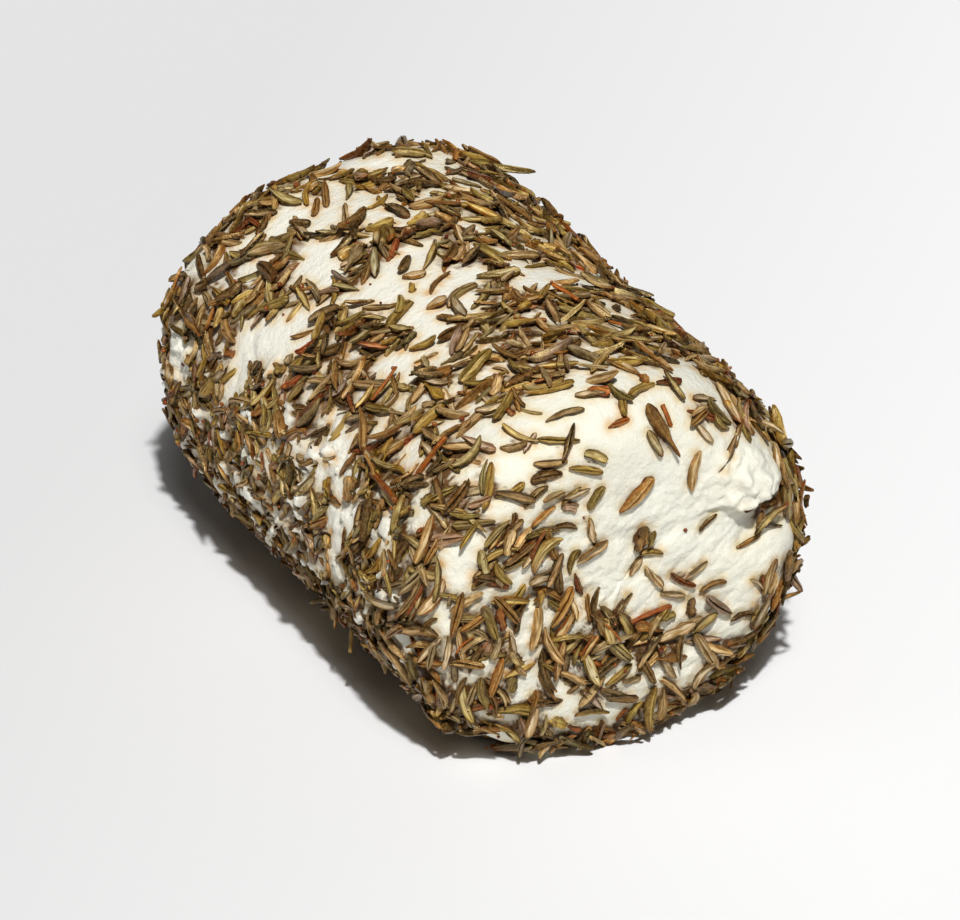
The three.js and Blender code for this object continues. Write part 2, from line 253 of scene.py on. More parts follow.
# Shape of each kind of small thing: its ring of points across, seen from its tip with its top up,
# and its half width at stations from base to tip
STATIONS = np.array([0.03, 0.13, 0.30, 0.50, 0.70, 0.87, 0.97])
RING_POINTS = 8
LANCE = np.array([0.34, 0.68, 0.94, 1.0, 0.93, 0.66, 0.30])
OBLONG = np.array([0.46, 0.79, 0.97, 1.0, 0.97, 0.81, 0.48])
SPATULA = np.array([0.24, 0.42, 0.74, 0.96, 1.0, 0.84, 0.46])
PETIOLE = np.array([0.20, 0.20, 0.30, 0.74, 1.0, 0.86, 0.42])
BLUNT = np.array([0.70, 0.92, 1.0, 1.0, 0.97, 0.90, 0.66])
LEAF_OUTLINES = np.array([LANCE, OBLONG, SPATULA])
OUTLINE_SHARES = [0.4, 0.35, 0.25]
LEAF_HEIGHTS = np.array([0.40, 0.72, 0.95, 1.0, 0.95, 0.74, 0.40])
BALL = np.sin(np.pi * np.linspace(0.09, 0.91, len(STATIONS)))


def mirrored(bottom, sides, top):
    """A ring from its bottom point round the right side, the top and back on the left."""
    return [bottom, *sides, top, *((-y, z) for y, z in reversed(sides))]


def round_ring():
    turns = [math.tau * k / RING_POINTS for k in range(RING_POINTS)]
    return [(math.sin(a), -math.cos(a)) for a in turns]


RINGS = {
    "back": mirrored((0, -0.4), [(1.0, -0.3), (0.74, 0.42), (0.32, 0.8)], (0, 0.4)),
    "hollow": mirrored((0, -0.9), [(1.0, 0.0), (0.82, 0.75), (0.56, 0.12)], (0, -0.15)),
    "tight": mirrored((0, -0.9), [(1.0, -0.1), (0.7, 0.75), (0.2, 0.95)], (0, 0.2)),
    "open": mirrored((0, -0.4), [(1.0, 0.2), (0.86, 0.5), (0.45, 0.15)], (0, 0.0)),
    "curved": mirrored((0, -0.6), [(1.0, -0.1), (0.74, 0.6), (0.3, 0.85)], (0, 0.5)),
    "broken": mirrored((0, -0.8), [(1.0, -0.1), (0.76, 0.7), (0.4, 0.3)], (0, 0.15)),
    "stem": round_ring(),
    "bead": round_ring(),
}
# Painted light and shade of the ring's bottom, side, rim, the inside of the rim and the middle: painted
# shade on the underside, rolled margins and slits, painted highlight with the leaf's own paler middle on
# ridges and troughs
PAINTED_SHADES = {
    "back": (0.4, 0.18, 0.85, 1.5, 0.4),
    "hollow": (0.4, 0.2, 0.3, 1.8, 2.2),
    "tight": (0.4, 0.3, 1.25, 0.9, 0.12),
    "open": (0.5, 0.4, 0.55, 1.2, 0.9),
    "curved": (0.4, 0.2, 0.85, 1.45, 0.55),
    "broken": (0.4, 0.2, 0.65, 1.5, 1.1),
}
# How much richer a colour gets as painted shade darkens it, standing in for light lost between leaves
PAINTED_SHADE_DEPTH = 0.7
OUTLINES = {
    "open": PETIOLE,
    "broken": BLUNT,
    "stem": np.array([0.9, 1.0, 0.92, 0.98, 0.9, 1.0, 0.85]),
    "bead": BALL,
}
HEIGHT_OF_WIDTH = {
    "back": 0.62, "hollow": 0.66, "tight": 0.8, "open": 0.36, "curved": 0.68, "broken": 0.62,
    "stem": 0.9, "bead": 1.0,
}
# Unevenness of the ring's points as a share of the thing's size
CRINKLE = {"stem": 0.12, "bead": 0.0, "broken": 0.2}
LEAF_CRINKLE = 0.1
# Leaf rims that turn by more than this many degrees stay sharp
RIM_ANGLE = 50

LEAF_TRIES = 7200
THICK_TRIES = 900
STEM_COUNT = 60
BEAD_COUNT = 260
LEAF_KINDS = {"back": 26, "hollow": 30, "tight": 14, "open": 4, "curved": 10, "broken": 16}
# Leaf length, its spread and limits, and width as a share of length
LEAF_LENGTH = 3.95
LEAF_SPREAD = 0.85
LEAF_LIMITS = (2.0, 6.0)
LEAF_SLENDER = (0.165, 0.28)
FRONT_LEAF_GROWTH = 1.12
OPEN_LEAF_GROWTH = 1.25
BROKEN_SHARE = (0.35, 0.75)
# Sizes of stems and beads, and width as a share of length
STEM_LENGTHS = (2.5, 6.5)
STEM_SLENDER = (0.08, 0.13)
BEAD_SIZES = (0.35, 0.65)
BEAD_ROUNDNESS = (0.95, 1.05)
# How deep things sit as a share of their height, and how much deeper and shorter where pressed
LEAF_PRESS = (0.1, 0.45)
LIGHT_PRESS = 0.12
SIDE_PRESS = 0.25
SMALL_PRESS = 0.3
PRESSED_DEEPER = 0.25
PRESSED_SHORTER = 0.24
# Share of leaves that lie one way, with that turn and its spread, and the spread of tilt and roll
COMBED_SHARE = 0.4
COMBED_TURN = 0.45
COMBED_SPREAD = 0.45
LEAF_TILT = 0.09
LEAF_ROLL = 0.35
# A leaf isn't laid where those below already stand this high
COAT_LIMIT = 0.72
THICK_LIMIT = 1.1
# Share of leaves that stand off the coat at one end, and how steeply
STRAY_SHARE = 0.09
STRAY_TILT = (0.2, 0.65)
FLOOR_GAP = 0.06
SEED = 11
rng = np.random.default_rng(SEED)


# Noise and small helpers

def smoothstep(low, high, value):
    t = np.clip((value - low) / (high - low), 0, 1)
    return t * t * (3 - 2 * t)


def lattice(ix, iy, iz, seed):
    """Repeatable values from 0 to 1 at whole-number places."""
    h = (ix * 374761393 + iy * 668265263 + iz * 1440670441 + seed * 974634541) & 0xFFFFFFFF
    h = ((h ^ (h >> 13)) * 1274126177) & 0xFFFFFFFF
    return ((h ^ (h >> 16)) & 0xFFFFFF) / 0xFFFFFF


def noise(points, pitch, seed):
    """Smooth noise from -1 to 1 in space; pitch is the size of its bumps."""
    q = points / pitch
    base = np.floor(q).astype(np.int64)
    f = q - base
    f = f * f * f * (f * (f * 6 - 15) + 10)
    total = np.zeros(len(points))
    for corner in np.ndindex(2, 2, 2):
        weight = np.prod(np.where(corner, f, 1 - f), axis=1)
        total += weight * lattice(*(base + corner).T, seed)
    return total * 2 - 1


def layers(points, noises):
    """Sum of noises, each given by its pitch, seed and height."""
    return sum(height * noise(points, pitch, seed) for pitch, seed, height in noises)


def linear(rgb):
    """Screen colour from 0 to 255 as linear light."""
    c = np.asarray(rgb, float) / 255
    return np.where(c <= 0.04045, c / 12.92, ((c + 0.055) / 1.055) ** 2.4)


def draw(shares):
    names = list(shares)
    weights = np.array([shares[n] for n in names], float)
    return names[rng.choice(len(names), p=weights / weights.sum())]


# The unrolled surface

def profile(s):
    """Place along X, radius and normal at a distance along the log's profile."""
    s = np.asarray(s, float)
    front = np.clip((s - FACE_RIM) / FRONT_SHOULDER, 0, math.pi / 2)
    back = np.clip((s - SIDE_END) / BACK_SHOULDER, 0, math.pi / 2)
    side = np.clip(s - SIDE_START, 0, SIDE_END - SIDE_START)
    x = HALF_LENGTH - FRONT_SHOULDER * (1 - np.cos(front)) - side - BACK_SHOULDER * np.sin(back)
    r = np.minimum(s, FACE_RIM) + FRONT_SHOULDER * np.sin(front) - BACK_SHOULDER * (1 - np.cos(back))
    r = np.maximum(r - np.maximum(s - BACK_RIM, 0), 0)
    nx = np.cos(front) - np.sin(back)
    nr = np.sin(front) * np.cos(back)
    return x, r, nx, nr


def place(s, angle):
    """Point, outward normal and the directions along and around the smooth log."""
    x, r, nx, nr = profile(s)
    c, k = np.cos(angle), np.sin(angle)
    point = np.stack([x, r * c, AXIS_HEIGHT + OVAL * r * k], -1)
    normal = np.stack([nx, nr * c, nr * k / OVAL], -1)
    normal /= np.linalg.norm(normal, axis=-1, keepdims=True)
    around = np.stack([0 * x, -k, OVAL * c], -1)
    around /= np.linalg.norm(around, axis=-1, keepdims=True)
    return point, normal, np.cross(around, normal), around


def unroll(points):
    """Distance along the profile and clock angle of points near the surface."""
    x, y = points[:, 0], points[:, 1]
    z = (points[:, 2] - AXIS_HEIGHT) / OVAL
    r = np.hypot(y, z)
    over_front = r - FACE_RIM
    over_back = r - (HALF_WIDTH - BACK_SHOULDER)
    past_front = x - (HALF_LENGTH - FRONT_SHOULDER)
    past_back = -x - (HALF_LENGTH - BACK_SHOULDER)
    s = SIDE_START - past_front
    shoulder = FACE_RIM + FRONT_SHOULDER * np.arctan2(over_front, past_front)
    s = np.where(past_front > 0, np.where(over_front > 0, shoulder, r), s)
    shoulder = BACK_RIM - BACK_SHOULDER * np.arctan2(over_back, past_back)
    s = np.where(past_back > 0, np.where(over_back > 0, shoulder, PROFILE_END - r), s)
    return s, np.arctan2(z, y)


def face_distance(y, z):
    """Distance along the profile of a point of the bare end seen straight on."""
    r = np.minimum(np.hypot(y, z / OVAL), HALF_WIDTH - 0.01)
    over = np.clip((r - FACE_RIM) / FRONT_SHOULDER, 0, 1)
    return np.where(r < FACE_RIM, r, FACE_RIM + FRONT_SHOULDER * np.arcsin(over))


def turned(angle, other):
    """Arc around the log from one clock angle to another given in degrees."""
    return ((angle - math.radians(other) + math.pi) % math.tau - math.pi) * HALF_WIDTH


# Relief of the cheese

def lumps(x, angle):
    height = np.zeros_like(x)
    for at, clock, reach, tall in LUMPS:
        away = np.hypot(x - at, turned(angle, clock))
        height += tall * np.exp(-(away / reach) ** 2)
    return height


def torn_share(y, z):
    """Share of the full tears at places of the bare end."""
    slope, out, full = TORN_BELOW
    below = smoothstep(out, full, z - slope * y)
    slope, out, full = TORN_RIGHT
    return below * smoothstep(out, full, y + slope * z)


def ledge_share(y, z, flat):
    """Share of the ledge's full height at places of the bare end."""
    beside = np.exp(-((y - LEDGE_AT) / LEDGE_REACH) ** 2)
    return beside * smoothstep(*LEDGE_EDGE, z + layers(flat, LEDGE_JAG)) * smoothstep(*LEDGE_TOP, z)


def torn_face(y, z):
    """Ledge, hollow and soft diagonal tears of the bare end."""
    r = np.hypot(y, z)
    height = -FACE_DISH * np.exp(-(r / FACE_RIM) ** 2)
    for y0, z0, reach_y, reach_z, tall in FACE_FORMS:
        height += tall * np.exp(-((y - y0) / reach_y) ** 2 - ((z - z0) / reach_z) ** 2)
    across = z * math.cos(TEAR_SLOPE) - y * math.sin(TEAR_SLOPE)
    along = y * math.cos(TEAR_SLOPE) + z * math.sin(TEAR_SLOPE)
    flat = np.stack([along, across, 0 * y], -1)
    strokes = flat * TEAR_STRETCH
    torn = torn_share(y, z)
    cracks = np.maximum(1 - CRACK_RARITY * np.abs(noise(strokes, *CRACK_NOISE)), 0)
    crumbs = np.maximum(noise(flat, *CRUMB_NOISE), 0)
    small_crumbs = np.maximum(noise(flat, *SMALL_CRUMBS), 0)
    small_crumbs += CRUMB_RIDGE_SHARE * np.abs(noise(flat, *CRUMB_RIDGES))
    height += torn * (layers(strokes, TEARS) - CRACK_DEPTH * cracks)
    height += torn * (layers(flat, FACE_LUMPS) + CRUMB_HEIGHT * crumbs)
    height += ledge_share(y, z, flat) * (LEDGE + LEDGE_CRUMBS * (crumbs + small_crumbs))
    return height * smoothstep(HALF_WIDTH, FACE_RIM, r)


def pressed_share(angle, clock, full):
    """Share of the full pressure around a clock angle of the pressed side."""
    return smoothstep(PRESSED_REACH, full, np.abs(turned(angle, clock)))


def relief(angle, point, normal):
    """Height of the real cheese above the smooth log."""
    x = point[:, 0]
    height = lumps(x, angle)
    end = np.clip(normal[:, 0], 0, 1)
    face = end > 0
    tear = torn_face(point[face, 1], point[face, 2] - AXIS_HEIGHT)
    height[face] += tear * end[face]
    streaked = np.stack([x, angle * HALF_WIDTH * SIDE_STRETCH, 0 * x], -1)
    height += layers(streaked, SIDE_STREAKS) * (1 - end)
    height += layers(point, SOFT_LUMPS)
    height += pressed_share(angle, *ROUGH) * layers(point, ROUGH_LUMPS)
    back = np.clip(-normal[:, 0], 0, 1)
    return height + back * layers(point, BACK_LUMPS)


def smears(s, angle, point):
    """Share of the full height to which cheese is squeezed up over leaves on the pressed side."""
    pressed = pressed_share(angle, *SMEARED) * smoothstep(SIDE_START - SMEAR_FADE, SIDE_START, s)
    return pressed * smoothstep(*SMEAR_EDGE, layers(point, SMEAR_SWELL))


def profile_rows():
    rows = []
    start = 0.0
    for end, step in ROW_STEPS:
        count = round((end - start) / step)
        rows.extend(start + (end - start) * (np.arange(count) + 0.5) / count)
        start = end
    return np.array(rows)


ROWS = profile_rows()
COLUMN_ANGLES = (np.arange(COLUMNS) + 0.5) / COLUMNS * math.tau - math.pi


def cheese_heights():
    s, angle = np.meshgrid(ROWS, COLUMN_ANGLES, indexing="ij")
    point, normal, _, _ = place(s.ravel(), angle.ravel())
    return relief(angle.ravel(), point, normal).reshape(s.shape)


def height_at(heights, s, angle):
    row = np.clip(np.searchsorted(ROWS, s), 0, len(ROWS) - 1)
    column = ((angle + math.pi) / math.tau * COLUMNS).astype(int) % COLUMNS
    return heights[row, column]


# Where leaves lie

# The middles of leaves keep this far out of a bare patch, so that their ends reach its edge
PATCH_MARGIN = 0.8
# Where a patch gives way to the coat, as shares of its size, and how uneven that edge is
PATCH_EDGE = (0.72, 1.15)
PATCH_WOBBLE = [(2.4, 10, 0.22), (1.0, 11, 0.12)]
# Clumps of leaves at the edges of the coat and all over it
EDGE_CLUMPS = (2.6, 18)
EDGE_CLUMPING = 2.4
CLUMPS = (1.8, 19)
CLUMPING = 0.4


def patch_cover(u, v, half_u, half_v, empty, wobble):
    away = np.hypot(u / (half_u + PATCH_MARGIN), v / (half_v + PATCH_MARGIN)) + wobble
    return 1 - empty * (1 - smoothstep(*PATCH_EDGE, away))


def end_cover(y, z, patches, wobble):
    cover = np.ones_like(y)
    for y0, z0, half_y, half_z, empty in patches:
        cover *= patch_cover(y - y0, z - z0, half_y, half_z, empty, wobble)
    return cover


def coat_cover(s, angle):
    """Share of the full coat of leaves at places on the surface."""
    point, _, _, _ = place(s, angle)
    wobble = layers(point, PATCH_WOBBLE)
    cover = np.ones_like(s)
    for at, clock, half_along, half_around, tilt, empty in BARE_PATCHES:
        u, v = s - at, turned(angle, clock)
        c, k = math.cos(math.radians(tilt)), math.sin(math.radians(tilt))
        cover *= patch_cover(u * c + v * k, v * c - u * k, half_along, half_around, empty, wobble)
    y, z = point[:, 1], point[:, 2] - AXIS_HEIGHT
    front = end_cover(y, z, FACE_PATCHES, wobble)
    back = end_cover(y, z, BACK_PATCHES, wobble)
    cover = np.where(s < SIDE_START, cover * front, cover)
    cover = np.where(s > SIDE_END, cover * back, cover)
    clumps = EDGE_CLUMPING * cover * (1 - cover) * noise(point, *EDGE_CLUMPS)
    clumps += CLUMPING * cover * noise(point, *CLUMPS)
    return np.clip(cover + clumps, 0, 1)


# Where a thing feels for what lies under it, as shares of its length and width
FOOT_ALONG = np.linspace(-0.45, 0.45, 9)
FOOT_ACROSS = np.array([-0.3, 0.0, 0.3])
# Share of those places that has to be low enough to lie on, and share that a thing lies above
FREE_SHARE = 0.7
REST_SHARE = 0.85
# Slope of a thing between the highest places under its halves, this share of its length apart
SLOPE_SPAN = 0.6
SLOPE_LIMIT = 0.3
# How far a tilted thing sinks as a share of its length, and its gap to the floor as one of its height
TILT_SINK = 0.25
FLOOR_SHARE = 0.2
# How finely a thing fills the cells under it, how slim its footprint is, and how high it fills them
FILL_STEP = 0.75
FILL_SLIM = 1.6
FILL_HEIGHT = 0.8


class Coat:
    """What lies on the cheese so far: its height on a fine grid of the unrolled surface."""

    CELL = 0.2

    def __init__(self, heights):
        self.heights = heights
        self.face_cells = int(2 * FACE_RIM / self.CELL) + 3
        self.around_cells = int(math.tau * HALF_WIDTH / self.CELL)
        side_cells = int((BACK_RIM - FACE_RIM) / self.CELL) + 2
        self.side_at = self.face_cells ** 2
        self.back_at = self.side_at + side_cells * self.around_cells
        self.top = np.zeros(self.back_at + self.face_cells ** 2)
        self.items = {}

    def cells(self, s, angle):
        """Grid cells of places: flat maps of the two ends, an unrolled map of the rest."""
        near = np.where(s < FACE_RIM, s, np.maximum(PROFILE_END - s, 0))
        half = self.face_cells / 2
        row = np.clip(near * np.sin(angle) / self.CELL + half, 0, self.face_cells - 1).astype(int)
        column = np.clip(near * np.cos(angle) / self.CELL + half, 0, self.face_cells - 1).astype(int)
        flat = row * self.face_cells + column
        along = np.clip((s - FACE_RIM) / self.CELL, 0, (BACK_RIM - FACE_RIM) / self.CELL).astype(int)
        around = ((angle + math.pi) / math.tau * self.around_cells).astype(int) % self.around_cells
        side = self.side_at + along * self.around_cells + around
        return np.where(s < FACE_RIM, flat, np.where(s > BACK_RIM, self.back_at + flat, side))

    def under(self, plane, a, b):
        """Cells under places of a thing's plane, and the cheese's height there above that plane."""
        centre, ahead, aside, normal = plane
        spots = centre + a[:, None] * ahead + b[:, None] * aside
        s, angle = unroll(spots)
        ground, up, _, _ = place(s, angle)
        ground = ground + height_at(self.heights, s, angle)[:, None] * up
        return self.cells(s, angle), (ground - centre) @ normal

    def lay(self, kind, colour, s, angle, turn, length, width, press, limit=math.inf, tilt=0.0, roll=0.0):
        """Lays one thing on what is there, unless that is too high or it would reach the floor."""
        point, normal, along, around = (v[0] for v in place(np.array([s]), np.array([angle])))
        ahead = math.cos(turn) * around + math.sin(turn) * along
        aside = np.cross(normal, ahead)
        plane = (point, ahead, aside, normal)
        height = width * HEIGHT_OF_WIDTH[kind]
        size = (length, width, height)
        a, b = (v.ravel() for v in np.meshgrid(FOOT_ALONG * length, FOOT_ACROSS * width))
        cells, ground = self.under(plane, a, b)
        below = self.top[cells]
        if np.quantile(below, FREE_SHARE) > limit:
            return
        support = ground + below
        slope = (support[a > 0].max() - support[a < 0].max()) / (length * SLOPE_SPAN)
        slope = np.clip(slope, -SLOPE_LIMIT, SLOPE_LIMIT) + tilt
        level = np.quantile(support - slope * a, REST_SHARE)
        level = level - press * height - TILT_SINK * abs(tilt) * length
        low = (point + normal * level)[2] - (abs(ahead[2]) + abs(slope * normal[2])) * length / 2
        if low < FLOOR_GAP + FLOOR_SHARE * height:
            return
        self.fill(plane, level, slope, size)
        tilted = ahead + slope * normal
        tilted /= np.linalg.norm(tilted)
        up = np.cross(tilted, aside)
        c, k = math.cos(roll), math.sin(roll)
        axes = np.stack([tilted, c * aside + k * up, c * up - k * aside])
        self.items.setdefault(kind, []).append((point + normal * level, axes, size, colour))

    def fill(self, plane, level, slope, size):
        """Raises the coat to the top of a thing that lies at a level and slope on its plane."""
        length, width, height = size
        step = self.CELL * FILL_STEP
        steps = np.arange(-0.5, 0.5, step / length) * length
        sides = np.arange(-0.5, 0.51, min(step / width, 0.5)) * width
        a, b = (v.ravel() for v in np.meshgrid(steps, sides))
        inside = (2 * a / length) ** 2 + (FILL_SLIM * b / width) ** 2 < 1
        a, b = a[inside], b[inside]
        cells, ground = self.under(plane, a, b)
        tops = level + slope * a + FILL_HEIGHT * height - ground
        np.maximum.at(self.top, cells, np.maximum(tops, 0))


def lay_between(coat, kind, colour, s, angle, width, press):
    """Lays a thing with its base and tip at two places of the surface."""
    ends, _, _, _ = place(s, angle)
    middle_s, middle_angle = unroll(ends.mean(0)[None])
    _, _, along, around = place(middle_s, middle_angle)
    span = ends[1] - ends[0]
    turn = math.atan2(span @ along[0], span @ around[0])
    length = float(np.linalg.norm(span))
    coat.lay(kind, colour, middle_s[0], middle_angle[0], turn, length, width, press)


def lay_face_leaves(coat):
    for kind, colour, y0, z0, y1, z1, width in FACE_LEAVES:
        y, z = np.array([y0, y1]), np.array([z0, z1])
        lay_between(coat, kind, colour, face_distance(y, z), np.arctan2(z / OVAL, y), width, LIGHT_PRESS)


def lay_side_leaves(coat):
    for kind, colour, base_s, base_clock, tip_s, tip_clock, width in SIDE_LEAVES:
        clock = np.radians([base_clock, tip_clock])
        lay_between(coat, kind, colour, np.array([base_s, tip_s]), clock, width, SIDE_PRESS)


def lay_stray_leaves(coat):
    for kind, colour, s, clock, turn, length, width, tilt in STRAY_LEAVES:
        clock, turn = math.radians(clock), math.radians(turn)
        coat.lay(kind, colour, s, clock, turn, length, width, LIGHT_PRESS, tilt=tilt)


def scatter_places(count, cover):
    """Random places on the surface, even by area and thinned by a cover; count is for a full cover."""
    tries = round(count * PROFILE_END / TUBE_LENGTH)
    s = rng.uniform(0, PROFILE_END, tries)
    angle = rng.uniform(-math.pi, math.pi, tries)
    _, r, _, _ = profile(s)
    keep = rng.uniform(size=tries) < cover(s, angle) * r / HALF_WIDTH
    return s[keep], angle[keep]


def pressed_side(s, angle):
    """Share of the full pressure at places of the side that was pressed."""
    return pressed_share(angle, *THICK) * (s > SIDE_START)


def thick_cover(s, angle):
    """Cover of the lower rim of the bare end and of the pressed side, where leaves lie thickest."""
    point, _, _, _ = place(s, angle)
    low = smoothstep(-2, -6, point[:, 2] - AXIS_HEIGHT) * (s < SIDE_START)
    return coat_cover(s, angle) * np.maximum(low, pressed_side(s, angle))


def lay_leaves(coat, tries, cover, limit):
    for s, angle in zip(*scatter_places(tries, cover)):
        kind = draw(LEAF_KINDS)
        colour = draw(LEAF_SHARES)
        length = np.clip(rng.normal(LEAF_LENGTH, LEAF_SPREAD), *LEAF_LIMITS)
        if s < SIDE_START:
            length *= FRONT_LEAF_GROWTH
        width = length * rng.uniform(*LEAF_SLENDER)
        if kind == "open":
            width *= OPEN_LEAF_GROWTH
        if kind == "broken":
            length *= rng.uniform(*BROKEN_SHARE)
        pressed = pressed_side(s, angle)
        length *= 1 - PRESSED_SHORTER * pressed
        press = rng.uniform(*LEAF_PRESS) + PRESSED_DEEPER * pressed
        turn = rng.uniform(0, math.tau)
        if rng.uniform() < COMBED_SHARE:
            turn = rng.normal(COMBED_TURN, COMBED_SPREAD) + math.pi * rng.integers(2)
        tilt = rng.normal(0, LEAF_TILT)
        roll = rng.normal(0, LEAF_ROLL)
        if rng.uniform() < STRAY_SHARE:
            tilt = rng.choice([-1, 1]) * rng.uniform(*STRAY_TILT)
        coat.lay(kind, colour, s, angle, turn, length, width, press, limit, tilt, roll)


def small_cover(s, angle):
    """Cover of stems and beads, of which a few lie in bare patches too."""
    return 0.05 + 0.95 * coat_cover(s, angle)


def lay_small(coat, kind, count, lengths, slender):
    for s, angle in zip(*scatter_places(count, small_cover)):
        length = rng.uniform(*lengths)
        width = length * rng.uniform(*slender)
        colour = draw(STEM_SHARES)
        coat.lay(kind, colour, s, angle, rng.uniform(0, math.tau), length, width, SMALL_PRESS)


# Meshes

# How far and in how many directions the ground is felt for leaves, for the herb dust and painted shade
# between them
DUST_AND_SHADE_REACH = 1.5
DUST_AND_SHADE_SAMPLES = 8
# How far herb juice and the painted warm shade around a leaf reach from it, and how rare strong juice is
STAIN_REACH = 0.8
JUICE_POWER = 2.0
# Spread of a leaf's brightness and warmth, and its blotches
BRIGHT_SPREAD = 0.34
BRIGHT_LIMITS = (-0.8, 0.4)
WARM_SPREAD = 0.055
WARMTH = np.array([1, 0.1, -1.2])
BLOTCH = 0.38
BLOTCH_NOISE = (0.8, 16)
# Painted shade of a leaf's two end points, its darker tip, and the stalk's end, lightness and amount of
# brown
END_PAINTED_SHADE = 0.6
TIP_START = 0.75
TIP_DARKER = 0.4
STALK_END = 0.25
STALK_LIGHT = (0.2, 0.9)
STALK_AMOUNT = (-0.5, 0.9)
# Sideways and upward bow of leaves as shares of their length, and their twist
CURVED_BOW = 0.07
SIDE_BOW = 0.05
UP_BOW = 0.05
LEAF_TWIST = 0.6
# Empty border of a thing's cell in the map, its wrinkles along and around, and their offset to the next
MAP_MARGIN = 0.08
GRAIN_BANDS = np.array([2.2, 11.0])
GRAIN_APART = np.array([3.7, 5.3])


def new_object(name, vertices, faces, material):
    mesh = bpy.data.meshes.new(name)
    mesh.vertices.add(len(vertices))
    mesh.vertices.foreach_set("co", (vertices * MM).astype(np.float32).ravel())
    loops = np.concatenate([f.ravel() for f in faces])
    corners = np.concatenate([np.full(len(f), f.shape[1]) for f in faces])
    mesh.loops.add(len(loops))
    mesh.loops.foreach_set("vertex_index", loops.astype(np.int32))
    mesh.polygons.add(len(corners))
    starts = np.cumsum(corners) - corners
    mesh.polygons.foreach_set("loop_start", starts.astype(np.int32))
    mesh.update(calc_edges=True)
    mesh.shade_smooth()
    mesh.materials.append(material)
    made = bpy.data.objects.new(name, mesh)
    bpy.context.scene.collection.objects.link(made)
    return made


def add_colours(made, name, colours):
    rgba = np.ones((len(colours), 4), np.float32)
    rgba[:, :3] = colours
    layer = made.data.color_attributes.new(name, "FLOAT_COLOR", "POINT")
    layer.data.foreach_set("color", rgba.ravel())


def add_uvs(made, name, uv_of_loop):
    layer = made.data.uv_layers.new(name=name)
    layer.data.foreach_set("uv", uv_of_loop.astype(np.float32).ravel())


def cheese_mesh(heights, coat, material):
    rows, columns = heights.shape
    s, angle = (v.ravel() for v in np.meshgrid(ROWS, COLUMN_ANGLES, indexing="ij"))
    point, normal, _, _ = place(s, angle)
    smeared = smears(s, angle, point)
    vertices = point + normal * (heights.ravel() + SMEAR_HEIGHT * smeared)[:, None]
    vertices[:, 2] = np.maximum(vertices[:, 2], 0)
    front = vertices[:columns].mean(0)
    back = vertices[-columns:].mean(0)
    vertices = np.concatenate([vertices, [front, back]])
    index = np.arange(rows * columns).reshape(rows, columns)
    nextcol = np.roll(index, -1, axis=1)
    quads = np.stack([index[:-1], index[1:], nextcol[1:], nextcol[:-1]], -1).reshape(-1, 4)
    front_fan = np.stack([np.full(columns, rows * columns), index[0], nextcol[0]], -1)
    back_fan = np.stack([np.full(columns, rows * columns + 1), nextcol[-1], index[-1]], -1)
    made = new_object("cheese", vertices, [quads, front_fan, back_fan], material)
    add_uvs(made, "OFBake", cheese_uvs(columns))
    stains_and_shade = cheese_stains_and_shade(vertices, coat)
    stains_and_shade[:-2] *= 1 - smeared[:, None]
    add_colours(made, "stain_and_shade", stains_and_shade)
    return made


def cheese_uvs(columns):
    """Map places of the corners of the cheese's faces: along its profile and around it."""
    around = np.arange(columns + 1) / columns
    along = np.concatenate([[0], ROWS, [PROFILE_END]]) / PROFILE_END
    corner = np.stack(np.meshgrid(along, around, indexing="ij"), -1)
    quads = np.stack([corner[1:-2, :-1], corner[2:-1, :-1], corner[2:-1, 1:], corner[1:-2, 1:]], 2)
    front = np.stack([corner[0, :-1], corner[1, :-1], corner[1, 1:]], 1)
    back = np.stack([corner[-1, :-1], corner[-2, 1:], corner[-2, :-1]], 1)
    return np.concatenate([part.reshape(-1, 2) for part in (quads, front, back)])


def cheese_stains_and_shade(vertices, coat):
    """How far herb juice has coloured the cheese from the leaves that lie near, with painted warm shade
    around them, and the herb dust and painted shade between them.
    """
    tree_points = []
    strength = []
    for kind in (*PAINTED_SHADES, "stem"):
        for centre, axes, (length, _, _), _ in coat.items.get(kind, []):
            juice = rng.uniform() ** JUICE_POWER
            for part in (-0.35, 0, 0.35):
                tree_points.append(centre + axes[0] * length * part)
                strength.append(juice)
    tree = KDTree(len(tree_points))
    for i, p in enumerate(tree_points):
        tree.insert(p, i)
    tree.balance()
    stains_and_shade = np.zeros((len(vertices), 3))
    for i, v in enumerate(vertices):
        _, nearest, distance = tree.find(v)
        # Red: damp with painted warm shade around the nearest leaf; green: its juice
        near = math.exp(-(distance / STAIN_REACH) ** 2)
        stains_and_shade[i] = (near, near * strength[nearest], 0)
    # Blue: herb dust and painted shade in the gaps between leaves
    stains_and_shade[:, 2] = herb_dust_and_shade(vertices, coat)
    return stains_and_shade


def herb_dust_and_shade(vertices, coat):
    """Share of the ground nearby that leaves cover, where crumbled leaf and painted shade darken the gaps
    between them.
    """
    s, angle = unroll(vertices)
    share = np.zeros(len(vertices))
    turns = np.arange(DUST_AND_SHADE_SAMPLES) * math.tau / DUST_AND_SHADE_SAMPLES
    for ring in (0.5, 1.0):
        for turn in turns:
            reach = DUST_AND_SHADE_REACH * ring
            around = reach * math.sin(turn) / HALF_WIDTH
            cells = coat.cells(s + reach * math.cos(turn), angle + around)
            share += coat.top[cells] > 0.05
    share /= 2 * DUST_AND_SHADE_SAMPLES
    return smoothstep(0.55, 0.85, share)


def outlines(kind, count):
    """Half width of every thing at its stations."""
    if kind in OUTLINES:
        chosen = np.tile(OUTLINES[kind], (count, 1))
    else:
        chosen = LEAF_OUTLINES[rng.choice(len(LEAF_OUTLINES), count, p=OUTLINE_SHARES)]
    return chosen * rng.normal(1, 0.06 * (kind in PAINTED_SHADES), chosen.shape)


